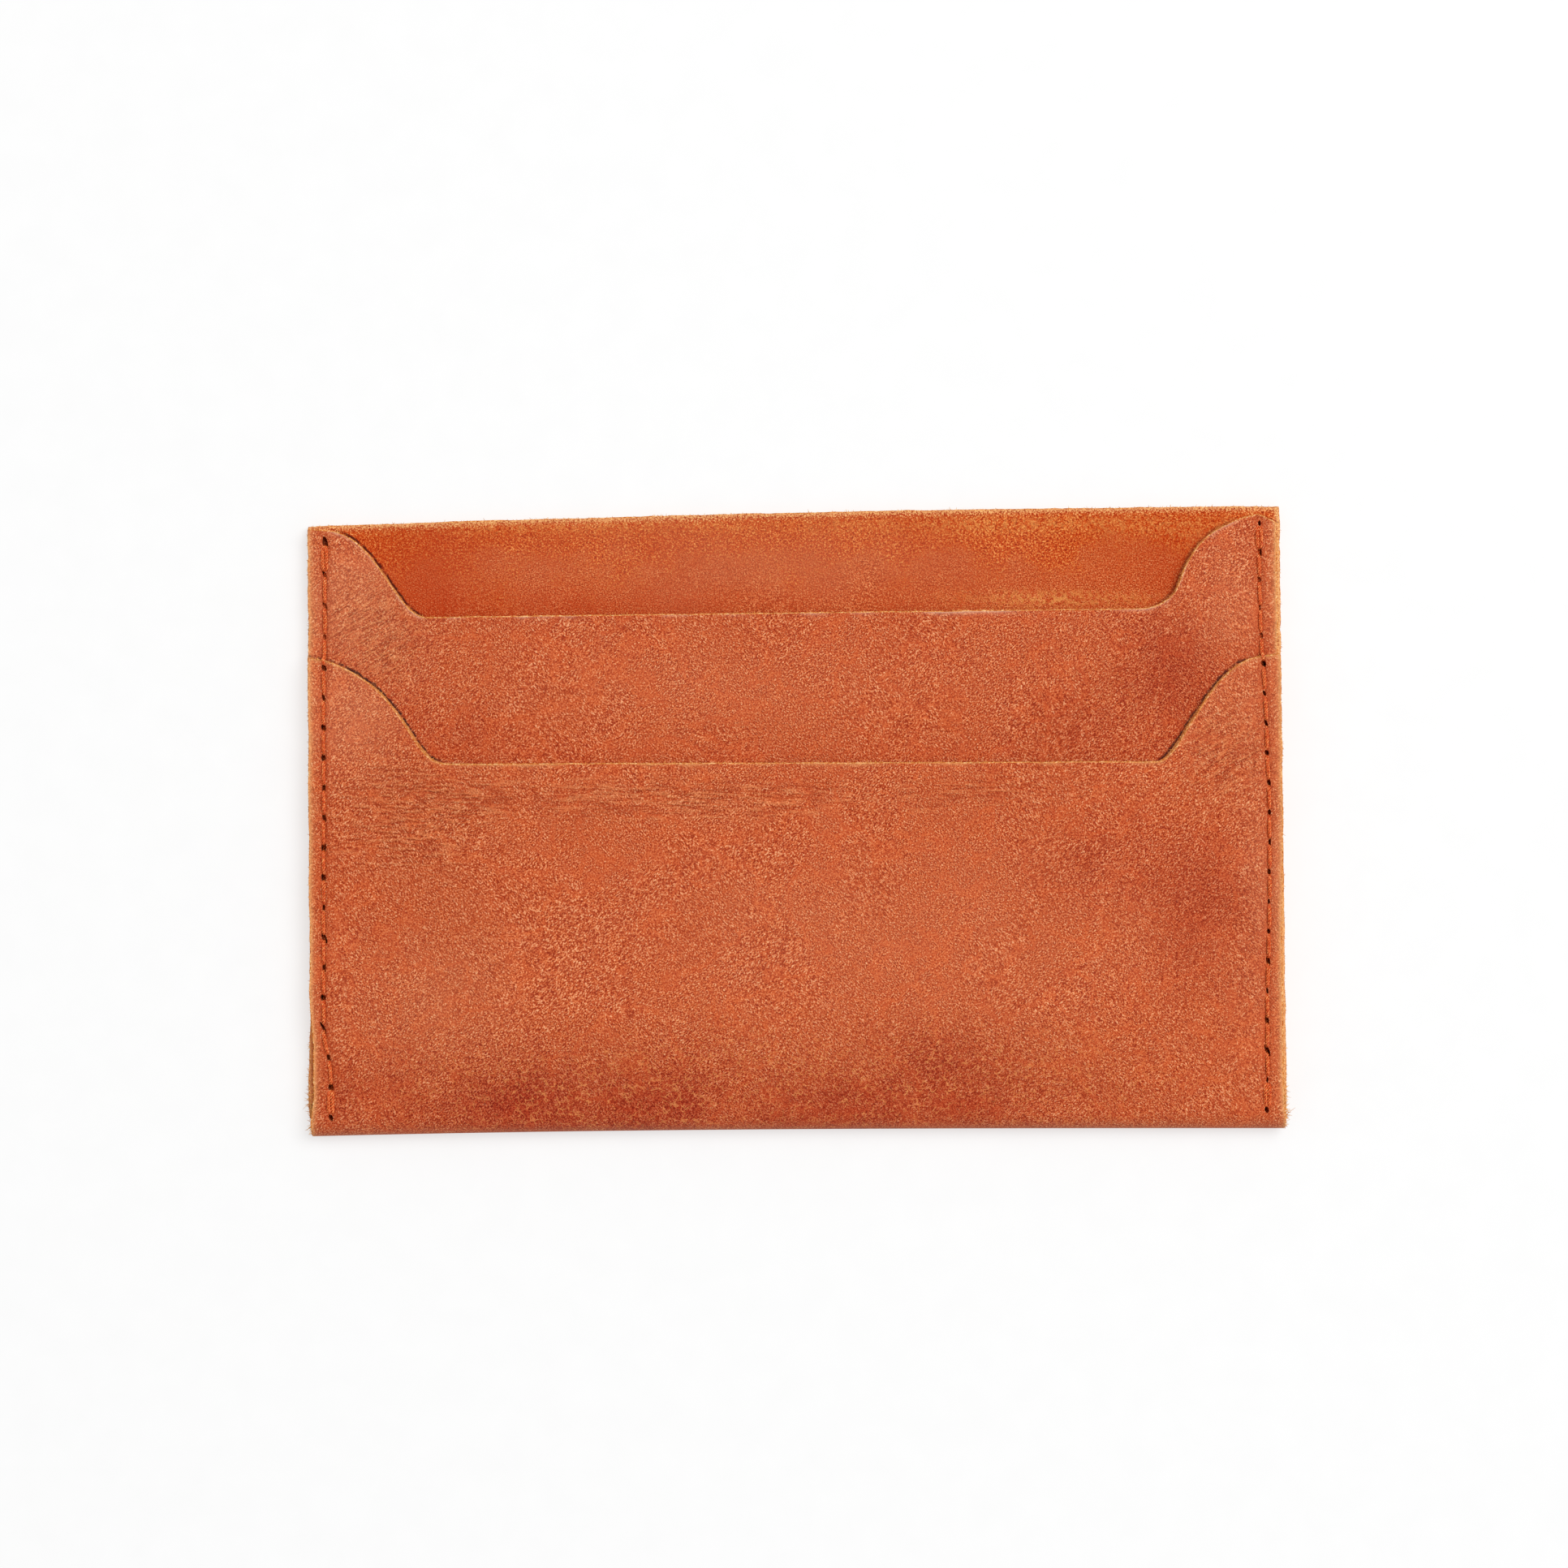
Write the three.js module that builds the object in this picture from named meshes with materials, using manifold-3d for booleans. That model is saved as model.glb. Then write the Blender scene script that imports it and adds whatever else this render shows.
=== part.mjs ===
// A slim leather card holder, lying on its back: one strip of leather folded along the bottom makes the
// back and the front pocket, a second pocket panel is laid inside the fold, and a lockstitch seam down each
// side holds the layers. Millimetres, +X to the right, +Y from the fold to the mouths, +Z up through the
// layers.
import * as THREE from 'three';
import { mergeVertices } from 'three/addons/utils/BufferGeometryUtils.js';
import Module from 'manifold-3d';

const wasm = await Module();
wasm.setup();

// Overall size
const holderWidth = 100;
const holderHeight = 64.4;
const leatherThickness = 1.2;
const layerGap = 0.05; // between layers where the seams press them together
const pocketRoom = 0.8; // extra height that each pocket opens to at mid-width, enough for one card

// The hand-cut outline is a little out of square
const leftLean = 0.4; // the left edge's foot stands this far inside its top
const rightLean = 0.8; // the right edge's top stands this far inside its foot
const topRise = 2.1; // the back's top edge climbs this much from left to right
const topCrown = 0.4; // and bulges this far above a straight line at mid-width
const foldRise = 0.85; // the fold climbs this much from left to right

// Pocket mouths. drop is from the straight line between the back's top corners down to the mouth, at
// mid-width, and rise is the mouth's own climb over the full width. At each side a shoulder of length run
// leaves the side edge, then an S-curve falls by horn over span. lead, dip and settle are the lengths of the
// curve's end handles, and cornerRise is how far the shoulder's outer corner stands above the curve's start.
const frontPocket = {
  drop: 25.2,
  rise: 0.35,
  left: { run: 2.1, horn: 10.45, span: 12.4, lead: 9.0, dip: 3.3, settle: 4.4, cornerRise: 0.5 },
  right: { run: 2.8, horn: 10.65, span: 10.2, lead: 5.0, dip: 0.85, settle: 2.15, cornerRise: 0.5 },
};
const innerPocket = {
  drop: 9.9,
  rise: 1.2,
  left: { run: 2.0, horn: 8.85, span: 10.05, lead: 5.1, dip: 0.4, settle: 3.15, cornerRise: 0.15 },
  right: { run: 2.6, horn: 9.7, span: 12.85, lead: 10.7, dip: 2.4, settle: 7.8, cornerRise: -1.2 },
};
const innerInset = 0.3; // the inner panel's sides stand this far inside the outer panel's
const innerStop = 3.3; // the inner panel ends this far above the fold's outside

// Seams
const seamInset = 1.9; // from the side edge to the stitch line
const stitchPitch = 3;
const seamTopMargin = 1.75; // from the back's top edge to the first hole
const seamFoldMargin = 2.0; // from the fold's outside to the last hole
const bridgeDrop = 0.85; // the stitch over the front pocket's shoulder ends this far below it
const threadDiameter = 0.45;
const threadClearance = 0.06;
const threadSides = 8;
const loopReach = 0.32; // half the distance between the two runs of thread in one hole
const tackOffset = 0.26; // sideways from the stitch line to each strand of a doubled end stitch

// The pressed zone along each seam, and the width over which the pockets swell from it
const flatZone = 4.5;
const swellZone = 16;
const widthSteps = 40;

const stackHeight = 3 * leatherThickness + 2 * layerGap;
const innerBase = leatherThickness + layerGap;
const innerTop = innerBase + leatherThickness;
const grooveDepth = threadDiameter + threadClearance;
const past = 5; // how far cutting prisms reach past what they cut

const leather = new THREE.MeshStandardMaterial({ color: 0xc7663f, roughness: 0.75, metalness: 0 });
const pocketLeather = new THREE.MeshStandardMaterial({ color: 0xc9683f, roughness: 0.75, metalness: 0 });
const thread = new THREE.MeshStandardMaterial({ color: 0xd9602c, roughness: 0.6, metalness: 0 });

const leftEdge = (y) => -holderWidth / 2 + (leftLean * (holderHeight / 2 - y)) / holderHeight;
const rightEdge = (y) => holderWidth / 2 - (rightLean * (holderHeight / 2 + y)) / holderHeight;
const acrossShare = (x) => (x + holderWidth / 2) / holderWidth;
const foldLine = (x) => -holderHeight / 2 + foldRise * acrossShare(x);
const topLine = (x) => holderHeight / 2 - topRise * (1 - acrossShare(x));
const mouthHeight = (pocket, x) => topLine(0) - pocket.drop + pocket.rise * (acrossShare(x) - 0.5);

function solidFrom(geometry) {
  const bare = geometry.clone();
  bare.deleteAttribute('normal');
  bare.deleteAttribute('uv');
  const merged = mergeVertices(bare, 1e-4);
  return new wasm.Manifold(
    new wasm.Mesh({
      numProp: 3,
      vertProperties: merged.attributes.position.array,
      triVerts: merged.index.array,
    }),
  );
}

function geometryFrom(solid) {
  const mesh = solid.getMesh();
  const geometry = new THREE.BufferGeometry();
  geometry.setAttribute('position', new THREE.BufferAttribute(mesh.vertProperties, 3));
  geometry.setIndex(new THREE.BufferAttribute(mesh.triVerts, 1));
  geometry.computeVertexNormals();
  return geometry;
}

function prism(shape, bottom, top) {
  const options = { depth: top - bottom, bevelEnabled: false, curveSegments: 10 };
  return solidFrom(new THREE.ExtrudeGeometry(shape, options).translate(0, 0, bottom));
}

// Lifts a flat sheet's points to the swell that the pockets have between the seams, and tilts it to the
// fold's line. share(z) is how much of the front panel's lift a point takes.
function swellSheet(geometry, share) {
  const points = geometry.attributes.position;
  for (let i = 0; i < points.count; i++) {
    const x = points.getX(i);
    const fromSide = holderWidth / 2 - Math.abs(x);
    const swell = THREE.MathUtils.smoothstep(fromSide, flatZone, flatZone + swellZone);
    points.setY(i, points.getY(i) + foldRise * acrossShare(x));
    points.setZ(i, points.getZ(i) + 2 * pocketRoom * swell * share(points.getZ(i)));
  }
  return geometry;
}

// The cut line of a pocket mouth from left to right. reach carries the shoulders past the side edges, or
// stops them short where it is negative.
function mouthLine(pocket, reach) {
  const leftFootX = leftEdge(0) + pocket.left.run + pocket.left.span;
  const rightFootX = rightEdge(0) - pocket.right.run - pocket.right.span;
  const leftFootY = mouthHeight(pocket, leftFootX);
  const rightFootY = mouthHeight(pocket, rightFootX);
  const leftTopX = leftFootX - pocket.left.span;
  const rightTopX = rightFootX + pocket.right.span;
  const leftTopY = leftFootY + pocket.left.horn;
  const rightTopY = rightFootY + pocket.right.horn;

  const line = new THREE.Shape();
  line.moveTo(leftEdge(leftTopY) - reach, leftTopY + pocket.left.cornerRise);
  line.lineTo(leftTopX, leftTopY);
  line.bezierCurveTo(
    leftTopX + pocket.left.lead,
    leftTopY - pocket.left.dip,
    leftFootX - pocket.left.settle,
    leftFootY,
    leftFootX,
    leftFootY,
  );
  line.lineTo(rightFootX, rightFootY);
  line.bezierCurveTo(
    rightFootX + pocket.right.settle,
    rightFootY,
    rightTopX - pocket.right.lead,
    rightTopY - pocket.right.dip,
    rightTopX,
    rightTopY,
  );
  line.lineTo(rightEdge(rightTopY) + reach, rightTopY + pocket.right.cornerRise);
  return line;
}

// Height of a pocket's shoulder on the stitch line of one side.
function shoulderHeight(pocket, side) {
  const end = side < 0 ? pocket.left : pocket.right;
  const edge = side < 0 ? leftEdge(0) : rightEdge(0);
  const footX = edge - side * (end.run + end.span);
  const top = mouthHeight(pocket, footX) + end.horn;
  return top + end.cornerRise * (1 - seamInset / end.run);
}

// The stretch from one height down to another in whole stitches as near as can be to the pitch.
function evenStitches(from, to) {
  const count = Math.max(1, Math.round((from - to) / stitchPitch));
  return Array.from({ length: count }, (_, i) => from - ((from - to) * i) / count);
}

const seamX = (side, y) => (side < 0 ? leftEdge(y) + seamInset : rightEdge(y) - seamInset);

// Needle holes of one seam from the top down, with one stitch bridging the front pocket's shoulder.
function needleHoles(side) {
  const first = topLine(seamX(side, holderHeight / 2)) - seamTopMargin;
  const last = foldLine(seamX(side, -holderHeight / 2)) + seamFoldMargin;
  const bridge = shoulderHeight(frontPocket, side) - bridgeDrop;
  return [...evenStitches(first, bridge), ...evenStitches(bridge, last), last];
}

// A lens-shaped slit along the seam, the mark of a leather needle, wide enough for the strands that pass it.
function needleSlit(side, y, width) {
  const half = loopReach + threadDiameter / 2 + threadClearance;
  const shoulder = half * 0.75;
  const x = seamX(side, y);
  const slit = new THREE.Shape();
  slit.moveTo(x - width / 2, y - shoulder);
  slit.lineTo(x - width / 4, y - half);
  slit.lineTo(x + width / 4, y - half);
  slit.lineTo(x + width / 2, y - shoulder);
  slit.lineTo(x + width / 2, y + shoulder);
  slit.lineTo(x + width / 4, y + half);
  slit.lineTo(x - width / 4, y + half);
  slit.lineTo(x - width / 2, y + shoulder);
  return prism(slit, -past, stackHeight + past);
}

const singleWidth = threadDiameter + 2 * threadClearance;
const doubleWidth = singleWidth + 2 * tackOffset;

function seamSlits(side) {
  const holes = needleHoles(side);
  const last = holes.length - 1;
  return holes.map((y, i) => needleSlit(side, y, i < 2 || i > last - 2 ? doubleWidth : singleWidth));
}

// The channel that the thread presses into the leather between two heights on the stitch line.
function threadChannel(side, low, high, width, bottom, top) {
  const channel = new THREE.Shape();
  channel.moveTo(seamX(side, low) - width / 2, low);
  channel.lineTo(seamX(side, low) + width / 2, low);
  channel.lineTo(seamX(side, high) + width / 2, high);
  channel.lineTo(seamX(side, high) - width / 2, high);
  return prism(channel, bottom, top);
}

// The channel along a whole seam, wide at the doubled end stitches. low and high limit it to a stretch.
function seamChannels(side, low, high, bottom, top) {
  const holes = needleHoles(side);
  const last = holes.length - 1;
  const stretches = [
    [holes[last], holes[0], singleWidth],
    [holes[1], holes[0], doubleWidth],
    [holes[last], holes[last - 1], doubleWidth],
  ];
  return stretches
    .map(([from, to, width]) => [Math.max(from, low), Math.min(to, high), width])
    .filter(([from, to]) => from < to)
    .map(([from, to, width]) => threadChannel(side, from, to, width, bottom, top));
}

// Back, fold and front pocket: one strip bent into a U, trimmed to the outline and the front mouth.
function outerPanel() {
  const outerRadius = stackHeight / 2;
  const innerRadius = outerRadius - leatherThickness;
  const bendY = -holderHeight / 2 + outerRadius;
  const farY = holderHeight / 2 + past;
  const section = new THREE.Shape();
  section.moveTo(farY, 0);
  section.lineTo(bendY, 0);
  section.absarc(bendY, outerRadius, outerRadius, 1.5 * Math.PI, 0.5 * Math.PI, true);
  section.lineTo(farY, stackHeight);
  section.lineTo(farY, stackHeight - leatherThickness);
  section.lineTo(bendY, stackHeight - leatherThickness);
  section.absarc(bendY, outerRadius, innerRadius, 0.5 * Math.PI, 1.5 * Math.PI, false);
  section.lineTo(farY, leatherThickness);

  const strip = new THREE.ExtrudeGeometry(section, {
    depth: holderWidth,
    steps: widthSteps,
    bevelEnabled: false,
    curveSegments: 6,
  });
  const sectionAlongX = new THREE.Matrix4().makeBasis(
    new THREE.Vector3(0, 1, 0),
    new THREE.Vector3(0, 0, 1),
    new THREE.Vector3(1, 0, 0),
  );
  strip.applyMatrix4(sectionAlongX).translate(-holderWidth / 2, 0, 0);
  const frontUnderside = stackHeight - leatherThickness;
  swellSheet(strip, (z) => THREE.MathUtils.smoothstep(z, leatherThickness, frontUnderside));

  const outline = new THREE.Shape();
  const low = -holderHeight / 2 - past;
  outline.moveTo(leftEdge(low), low);
  outline.lineTo(rightEdge(low), low);
  outline.lineTo(rightEdge(holderHeight / 2), holderHeight / 2);
  const topLeft = [leftEdge(holderHeight / 2), holderHeight / 2 - topRise];
  outline.quadraticCurveTo(0, topLine(0) + 2 * topCrown, ...topLeft);

  const aboveMouth = mouthLine(frontPocket, past);
  aboveMouth.lineTo(holderWidth, 2 * holderHeight);
  aboveMouth.lineTo(-holderWidth, 2 * holderHeight);

  let panel = solidFrom(strip)
    .intersect(prism(outline, -past, stackHeight + past))
    .subtract(prism(aboveMouth, stackHeight / 2, stackHeight + past));
  for (const side of [-1, 1]) {
    const channels = [
      ...seamChannels(side, -holderHeight, holderHeight, -past, grooveDepth),
      ...seamChannels(side, -holderHeight, holderHeight, stackHeight - grooveDepth, stackHeight + past),
    ];
    for (const cut of [...seamSlits(side), ...channels]) panel = panel.subtract(cut);
  }
  return geometryFrom(panel);
}

// The second pocket's panel, which stops just above the fold and is held by the side seams alone.
function innerPanel() {
  const sheet = new THREE.BoxGeometry(holderWidth, 2 * holderHeight, leatherThickness, widthSteps, 1, 1);
  sheet.translate(0, 0, innerBase + leatherThickness / 2);
  swellSheet(sheet, () => 0.5);

  const outline = mouthLine(innerPocket, -innerInset);
  const low = -holderHeight / 2 + innerStop;
  outline.lineTo(rightEdge(low) - innerInset, low + foldRise);
  outline.lineTo(leftEdge(low) + innerInset, low);

  let panel = solidFrom(sheet).intersect(prism(outline, -past, stackHeight + past));
  for (const side of [-1, 1]) {
    const shoulder = shoulderHeight(frontPocket, side);
    const channels = seamChannels(side, shoulder, holderHeight, innerTop - grooveDepth, stackHeight + past);
    for (const cut of [...seamSlits(side), ...channels]) panel = panel.subtract(cut);
  }
  return geometryFrom(panel);
}

// A path that takes one step from each given point to the next.
class ThreadPath extends THREE.Curve {
  constructor(points) {
    super();
    this.points = points;
  }

  getPoint(t) {
    const place = t * (this.points.length - 1);
    const i = Math.min(Math.floor(place), this.points.length - 2);
    return this.points[i].clone().lerp(this.points[i + 1], place - i);
  }

  getPointAt(t) {
    return this.getPoint(t);
  }

  getTangentAt(t) {
    const step = 0.5 / (this.points.length - 1);
    const before = this.getPoint(Math.max(0, t - step));
    return this.getPoint(Math.min(1, t + step)).sub(before).normalize();
  }
}

// One thread of a lockstitch seam. The needle thread lies on the front and dips half-way into each hole, and
// the bobbin thread does the same from the back. The first and last stitches are sewn twice, side by side.
function seamThread(side, isNeedle) {
  const holes = needleHoles(side);
  const last = holes.length - 1;
  const shoulder = shoulderHeight(frontPocket, side);
  const radius = threadDiameter / 2;
  const sunk = grooveDepth - radius - threadClearance / 2;
  const stackTop = (y) => (y > shoulder ? innerTop : stackHeight);
  const runZ = (y) => (isNeedle ? stackTop(y) - sunk : sunk);
  const meetGap = radius + threadClearance;
  const dipZ = (y) => stackTop(y) / 2 + (isNeedle ? meetGap : -meetGap);

  const points = [];
  const add = (y, z, offset) => points.push(new THREE.Vector3(seamX(side, y) + offset, y, z));
  // A stitch from one hole to another: up out of the first, along the face, and down into the second.
  const stitch = (from, to, offset, tail) => {
    const way = Math.sign(to - from);
    add(from + way * loopReach, dipZ(from), offset);
    add(from + way * loopReach, runZ(from), offset);
    if (isNeedle && from > shoulder && to < shoulder) {
      const climbY = shoulder + radius + 2 * threadClearance;
      add(climbY, runZ(climbY), offset);
      add(climbY, runZ(to), offset);
    }
    add(to - way * loopReach, runZ(to), offset);
    add(to - way * loopReach, dipZ(to), tail);
  };
  stitch(holes[1], holes[0], tackOffset, tackOffset);
  stitch(holes[0], holes[1], -tackOffset, -tackOffset);
  for (let i = 1; i < last - 1; i++) stitch(holes[i], holes[i + 1], 0, 0);
  stitch(holes[last - 1], holes[last], -tackOffset, -tackOffset);
  stitch(holes[last], holes[last - 1], tackOffset, tackOffset);

  const section = new THREE.Shape().absarc(0, 0, radius, 0, 2 * Math.PI);
  return new THREE.ExtrudeGeometry(section, {
    steps: points.length - 1,
    curveSegments: threadSides / 2,
    extrudePath: new ThreadPath(points),
  });
}

function piece(name, geometry, material) {
  const mesh = new THREE.Mesh(geometry, material);
  mesh.name = name;
  return mesh;
}

const cardHolder = new THREE.Group();
cardHolder.add(piece('outer_panel', outerPanel(), leather));
cardHolder.add(piece('inner_pocket_panel', innerPanel(), pocketLeather));
cardHolder.add(piece('left_needle_thread', seamThread(-1, true), thread));
cardHolder.add(piece('left_bobbin_thread', seamThread(-1, false), thread));
cardHolder.add(piece('right_needle_thread', seamThread(1, true), thread));
cardHolder.add(piece('right_bobbin_thread', seamThread(1, false), thread));

export default cardHolder;
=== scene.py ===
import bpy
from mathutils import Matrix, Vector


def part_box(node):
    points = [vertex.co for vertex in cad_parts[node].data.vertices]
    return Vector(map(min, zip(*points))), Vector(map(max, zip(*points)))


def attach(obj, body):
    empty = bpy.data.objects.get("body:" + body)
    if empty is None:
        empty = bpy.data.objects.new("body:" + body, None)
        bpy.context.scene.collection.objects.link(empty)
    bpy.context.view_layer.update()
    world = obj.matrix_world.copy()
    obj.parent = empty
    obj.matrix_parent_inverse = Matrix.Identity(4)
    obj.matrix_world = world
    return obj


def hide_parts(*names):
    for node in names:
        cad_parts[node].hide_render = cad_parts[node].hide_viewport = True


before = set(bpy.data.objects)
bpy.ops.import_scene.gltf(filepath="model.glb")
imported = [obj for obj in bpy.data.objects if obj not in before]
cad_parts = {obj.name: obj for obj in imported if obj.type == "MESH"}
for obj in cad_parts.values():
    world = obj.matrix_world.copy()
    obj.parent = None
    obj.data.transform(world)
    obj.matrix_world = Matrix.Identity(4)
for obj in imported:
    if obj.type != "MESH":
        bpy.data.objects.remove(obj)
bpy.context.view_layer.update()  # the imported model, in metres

import math

import bpy
import numpy as np
from mathutils import Vector

# A tan leather card holder, lying on its back. Shapes are worked out in millimetres, +X right, +Y to the
# mouths, +Z up, and turned to metres when they become meshes.
mm = 0.001
low, high = (np.array(corner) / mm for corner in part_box("outer_panel"))
left, bottom, right, top = low[0], low[1], high[0], high[1]
width, height = right - left, top - bottom

studio = {
    "lens": 100.0,  # millimetres
    "sensor": 36.0,
    "seen": 159.9,  # how many millimetres of the holder's level the square picture takes in
    "aim": (-1.3, 3.8),  # what the camera looks straight down on
    "level": 2.5,
    "skyStrength": 0.535,
    "keyPower": 10.5,
    "keySize": 0.7,
    "keyPlace": (0.38, 0.32, 1.1),  # metres
    "floorSize": 6.0,
    "floorDrop": 0.02,  # millimetres between the leather and the floor
    "floorGlow": 0.605,  # the floor is a lit acrylic table, so shadows stay faint
}


def aimAt(obj, target):
    # turns an object's -Z axis to a point, with its +Y axis kept up
    away = obj.location - target
    obj.rotation_euler = away.to_track_quat("Z", "Y").to_euler()


def setStudio():
    scene = bpy.context.scene
    scene.view_settings.view_transform = "Standard"
    lens = bpy.data.cameras.new("camera")
    lens.lens = studio["lens"]
    lens.sensor_width = studio["sensor"]
    distance = (studio["seen"] * studio["lens"] / studio["sensor"] + studio["level"]) * mm
    camera = bpy.data.objects.new("camera", lens)
    camera.location = (studio["aim"][0] * mm, studio["aim"][1] * mm, distance)
    lens.clip_start = 0.01
    scene.collection.objects.link(camera)
    scene.camera = camera

    keyData = bpy.data.lights.new("softbox", "AREA")
    keyData.energy = studio["keyPower"]
    keyData.size = studio["keySize"]
    key = bpy.data.objects.new("softbox", keyData)
    key.location = studio["keyPlace"]
    aimAt(key, Vector((0, 0, 0)))
    scene.collection.objects.link(key)

    world = bpy.data.worlds.new("white tent")
    world.use_nodes = True
    sky = world.node_tree.nodes["Background"]
    sky.inputs["Color"].default_value = (1, 1, 1, 1)
    sky.inputs["Strength"].default_value = studio["skyStrength"]
    scene.world = world


def linearColour(hexText):
    # sRGB hex to the linear light that a shader takes: ((c + 0.055) / 1.055) to the power 2.4 above the toe
    values = [int(hexText[i : i + 2], 16) / 255 for i in (1, 3, 5)]
    return tuple(c / 12.92 if c <= 0.04045 else ((c + 0.055) / 1.055) ** 2.4 for c in values) + (1.0,)


def smooth(x, start, end):
    # 0 before start, 1 after end, and the cubic 3t^2 - 2t^3 between them
    t = np.clip((x - start) / (end - start), 0, 1)
    return t * t * (3 - 2 * t)


def waves(x, y, cell, seed, octaves=1):
    # Value noise from -1 to 1: random heights on a square lattice of the given cell, blended by the smooth
    # cubic. Each further octave has half the cell and half the height.
    total = np.zeros(np.broadcast(x, y).shape)
    for octave in range(octaves):
        lattice = np.random.default_rng(seed + 31 * octave).uniform(-1, 1, (128, 128))
        size = cell / 2**octave
        gx, gy = x / size + 64.3, y / size + 64.7
        ix, iy = np.floor(gx).astype(int), np.floor(gy).astype(int)
        fx, fy = smooth(gx - ix, 0, 1), smooth(gy - iy, 0, 1)
        ix, iy = ix % 127, iy % 127
        lower = lattice[iy, ix] * (1 - fx) + lattice[iy, ix + 1] * fx
        upper = lattice[iy + 1, ix] * (1 - fx) + lattice[iy + 1, ix + 1] * fx
        total += (lower * (1 - fy) + upper * fy) / 2**octave
    return total


def bell(distance, reach):
    # 1 at no distance, falling off as e to the power of minus distance over reach, squared
    return np.exp(-((distance / reach) ** 2))


def unit(vectors):
    return vectors / np.maximum(np.linalg.norm(vectors, axis=-1, keepdims=True), 1e-12)


def makeMesh(name, points, faceSets, materials, attributes=None):
    # points in millimetres; faceSets is [(array of corner indices, material number)], one row a face
    mesh = bpy.data.meshes.new(name)
    points = np.asarray(points, dtype=np.float32).reshape(-1, 3) * mm
    corners = np.concatenate([faces.ravel() for faces, _ in faceSets])
    sizes = np.concatenate([np.full(len(faces), faces.shape[1]) for faces, _ in faceSets])
    slots = np.concatenate([np.full(len(faces), slot) for faces, slot in faceSets])
    mesh.vertices.add(len(points))
    mesh.vertices.foreach_set("co", points.ravel())
    mesh.loops.add(len(corners))
    mesh.loops.foreach_set("vertex_index", corners.astype(np.int32))
    mesh.polygons.add(len(sizes))
    mesh.polygons.foreach_set("loop_start", np.concatenate([[0], np.cumsum(sizes)[:-1]]).astype(np.int32))
    for material in materials:
        mesh.materials.append(material)
    mesh.polygons.foreach_set("material_index", slots.astype(np.int32))
    for key, values in (attributes or {}).items():
        layer = mesh.attributes.new(key, "FLOAT", "POINT")
        layer.data.foreach_set("value", np.asarray(values, dtype=np.float32).ravel())
    mesh.update(calc_edges=True)
    mesh.validate()
    mesh.shade_smooth()
    obj = bpy.data.objects.new(name, mesh)
    bpy.context.scene.collection.objects.link(obj)
    return obj


def addNode(tree, kind, inputs=None, **settings):
    # One node with its settings. An input takes another node's socket, which is linked, or a plain value.
    node = tree.nodes.new(kind)
    for key, value in settings.items():
        setattr(node, key, value)
    for key, value in (inputs or {}).items():
        if isinstance(value, bpy.types.NodeSocket):
            tree.links.new(value, node.inputs[key])
        else:
            node.inputs[key].default_value = value
    return node


cut = {
    "leftLean": 0.4,  # the left edge's foot stands this far inside its top
    "rightLean": 0.8,
    "topRise": 2.1,  # the top edge climbs from left to right
    "topCrown": 0.4,  # and bulges above a straight line
    "foldRise": 0.85,
    "knifeSway": 0.04,  # how far a knife held by hand strays from the line
    "swayCell": 2.1,
    "mouthSway": 0.6,  # the same at the mouths, as a share of knifeSway
    "rag": 0.035,  # how uneven the raw sides are from one bundle of fibres to the next
    "ragCell": 0.8,
}

# Pocket mouths: drop is how far the mouth's middle lies under the top edge, and rise how much it climbs
# from left to right. At each side is a shoulder of length run, whose outer end stands higher by cornerRise,
# then an S-curve that falls by horn over span. lead, dip and settle are its end handles' lengths.
mouths = {
    "front": {
        "drop": 25.2,
        "rise": 0.35,
        "seed": 11,
        "left": {"run": 2.1, "horn": 10.45, "span": 12.4, "lead": 9.0, "dip": 3.3, "settle": 4.4},
        "right": {"run": 3.0, "horn": 10.65, "span": 10.2, "lead": 5.0, "dip": 0.85, "settle": 2.15},
        "cornerRise": {"left": 0.4, "right": 0.5},
    },
    "inner": {
        "drop": 9.9,
        "rise": 1.2,
        "seed": 17,
        "left": {"run": 2.0, "horn": 8.85, "span": 10.05, "lead": 5.1, "dip": 0.4, "settle": 3.15},
        "right": {"run": 2.8, "horn": 9.7, "span": 12.85, "lead": 10.7, "dip": 2.4, "settle": 7.8},
        "cornerRise": {"left": 0.15, "right": -1.2},
    },
}
mouthInset = 0.2  # the shoulders' lengths are measured from this far inside the widest point
mouthPast = 5.0  # and each mouth's line runs on this far past both sides

layers = {
    "leather": 1.2,
    "gap": 0.05,
    "room": 0.8,  # each pocket's opening at mid-width
    "flatZone": 4.5,  # the pressed strip along each side
    "swellZone": 16.0,
    "edgeRound": 0.09,  # how far a cut edge's corners are worn round
    "edgeRough": 0.05,  # how far its fibres stand out or in
    "roughCell": 0.7,
    "backProud": 0.25,  # how far the back's left side sticks out past its line near the fold
    "innerProud": 0.7,  # and the inner panel's left side, as a share of that
    "proudZone": (-19, -25),
    "proudEnd": (0.8, 2.5),  # above the fold's lowest point
    "rightProud": 0.15,  # the back's right side sticks out all the way up
    "backWave": 0.03,
    "innerInset": (0.08, 0.32),  # how far the inner panel's sides stand inside the back's, left and right
    "innerLower": 0.1,  # how much farther out its right side is in the lower part
    "frontInset": (0.15, 0.14),
    "lowerInset": (0.34, 0.26),  # and how much farther in the front's two sides are in the lower part
    "lowerZone": ((-18, -24), (0, -14)),
    "liftZone": (-1, 11),  # the front rises to its full opening between these heights over the fold
    "feelZone": (-1, 3),  # and is uneven from here on
    "feel": ((0.10, 17.0), (0.035, 4.5)),  # height and length of the slow and quick unevenness of a hide
    "innerStop": 3.3,  # from the fold's outside up to the inner panel's lower end
}
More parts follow.
